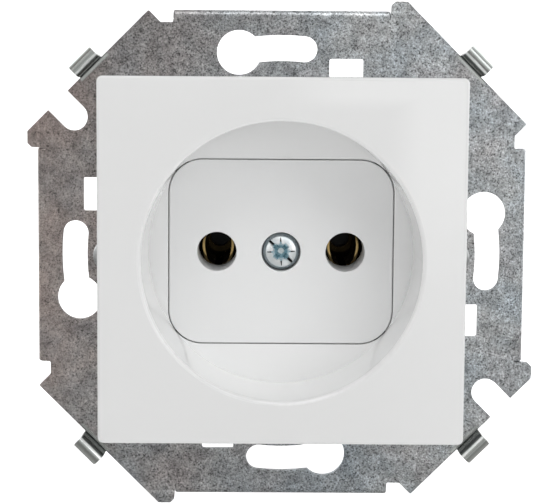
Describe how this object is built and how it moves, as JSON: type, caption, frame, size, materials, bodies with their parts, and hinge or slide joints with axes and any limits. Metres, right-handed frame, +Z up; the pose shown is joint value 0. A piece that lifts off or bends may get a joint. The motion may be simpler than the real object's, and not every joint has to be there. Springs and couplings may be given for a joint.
{
  "type": "flush-mounted two-pin socket",
  "caption": "Flush-mounted two-pin wall socket without earth: square cover with round plug recess, screwed insert, steel yoke with claws and spring clips, rear housing with screw terminals.",
  "frame": {"origin": "on the socket axis, in the plane where the yoke's bent-back flanges meet the wall", "axes": "+X to the right seen from the room, +Y into the wall, +Z up"},
  "size_m": [0.0734, 0.0409, 0.0734],
  "materials": {
    "cover_white": "moulded, polished",
    "insert_white": "moulded, satin",
    "yoke_zinc": "galvanised, fine spangle and specks",
    "screw_zinc": "blue zinc plating",
    "contact_brass": "stamped, slightly dull",
    "housing_dark": "moulded, fine grain",
    "claw_zinc": "zinc-plated stamping"
  },
  "bodies": {
    "mount": {"yoke": "yoke_zinc", "base_housing": "housing_dark", "retainer_plate": "housing_dark", "retainer_screws": "screw_zinc", "centre_nut": "claw_zinc", "contact_left": "contact_brass", "contact_right": "contact_brass"},
    "front": {"cover_plate": "cover_white", "contact_insert": "insert_white"},
    "centre_screw": {"centre_screw": "screw_zinc"},
    "terminal_screw_left": {"terminal_screw_left": "screw_zinc"},
    "terminal_clamp_left": {"terminal_clamp_left": "claw_zinc"},
    "claw_screw_left": {"claw_screw_left": "screw_zinc"},
    "claw_nut_left": {"claw_nut_left": "claw_zinc"},
    "claw_left": {"claw_left": "claw_zinc"},
    "terminal_screw_right": {"terminal_screw_right": "screw_zinc"},
    "terminal_clamp_right": {"terminal_clamp_right": "claw_zinc"},
    "claw_screw_right": {"claw_screw_right": "screw_zinc"},
    "claw_nut_right": {"claw_nut_right": "claw_zinc"},
    "claw_right": {"claw_right": "claw_zinc"}
  },
  "joints": [
    {"name": "cover_release", "type": "slide", "parent": "mount", "child": "front", "axis": [0, -1, 0], "range_m": [0, 0.005]},
    {"name": "centre_screw_turn", "type": "hinge", "parent": "front", "child": "centre_screw", "pos_m": [0, 0, 0], "axis": [0, 1, 0], "range_deg": [0, 3601.8]},
    {"name": "terminal_clamp_left_close", "type": "slide", "parent": "mount", "child": "terminal_clamp_left", "axis": [0, 0, -1], "range_m": [0, 0.0021]},
    {"name": "terminal_screw_left_turn", "type": "hinge", "parent": "mount", "child": "terminal_screw_left", "pos_m": [-0.0095, 0.0186, -0.012], "axis": [0, 0, 1], "range_deg": [0, 1260.63]},
    {"name": "claw_nut_left_travel", "type": "slide", "parent": "mount", "child": "claw_nut_left", "axis": [0, -1, 0], "range_m": [0, 0.008]},
    {"name": "claw_screw_left_turn", "type": "hinge", "parent": "mount", "child": "claw_screw_left", "pos_m": [-0.0245, 0, 0], "axis": [0, 1, 0], "range_deg": [0, 4116.34]},
    {"name": "claw_left_spread", "type": "hinge", "parent": "claw_nut_left", "child": "claw_left", "pos_m": [-0.0245, 0.026, 0], "axis": [0, 0, -1], "range_deg": [0, 27.01]},
    {"name": "terminal_clamp_right_close", "type": "slide", "parent": "mount", "child": "terminal_clamp_right", "axis": [0, 0, -1], "range_m": [0, 0.0021]},
    {"name": "terminal_screw_right_turn", "type": "hinge", "parent": "mount", "child": "terminal_screw_right", "pos_m": [0.0095, 0.0186, -0.012], "axis": [0, 0, 1], "range_deg": [0, 1260.63]},
    {"name": "claw_nut_right_travel", "type": "slide", "parent": "mount", "child": "claw_nut_right", "axis": [0, -1, 0], "range_m": [0, 0.008]},
    {"name": "claw_screw_right_turn", "type": "hinge", "parent": "mount", "child": "claw_screw_right", "pos_m": [0.0245, 0, 0], "axis": [0, 1, 0], "range_deg": [0, 4116.34]},
    {"name": "claw_right_spread", "type": "hinge", "parent": "claw_nut_right", "child": "claw_right", "pos_m": [0.0245, 0.026, 0], "axis": [0, 0, 1], "range_deg": [0, 27.01]}
  ],
  "couplings": [
    {"joint": "centre_screw_turn", "follows": "cover_release", "rad_per_m": 12566},
    {"joint": "terminal_screw_left_turn", "follows": "terminal_clamp_left_close", "rad_per_m": 10472},
    {"joint": "claw_screw_left_turn", "follows": "claw_nut_left_travel", "rad_per_m": 8976},
    {"joint": "claw_left_spread", "follows": "claw_nut_left_travel", "rad_per_m": 58.905},
    {"joint": "terminal_screw_right_turn", "follows": "terminal_clamp_right_close", "rad_per_m": 10472},
    {"joint": "claw_screw_right_turn", "follows": "claw_nut_right_travel", "rad_per_m": 8976},
    {"joint": "claw_right_spread", "follows": "claw_nut_right_travel", "rad_per_m": 58.905}
  ]
}
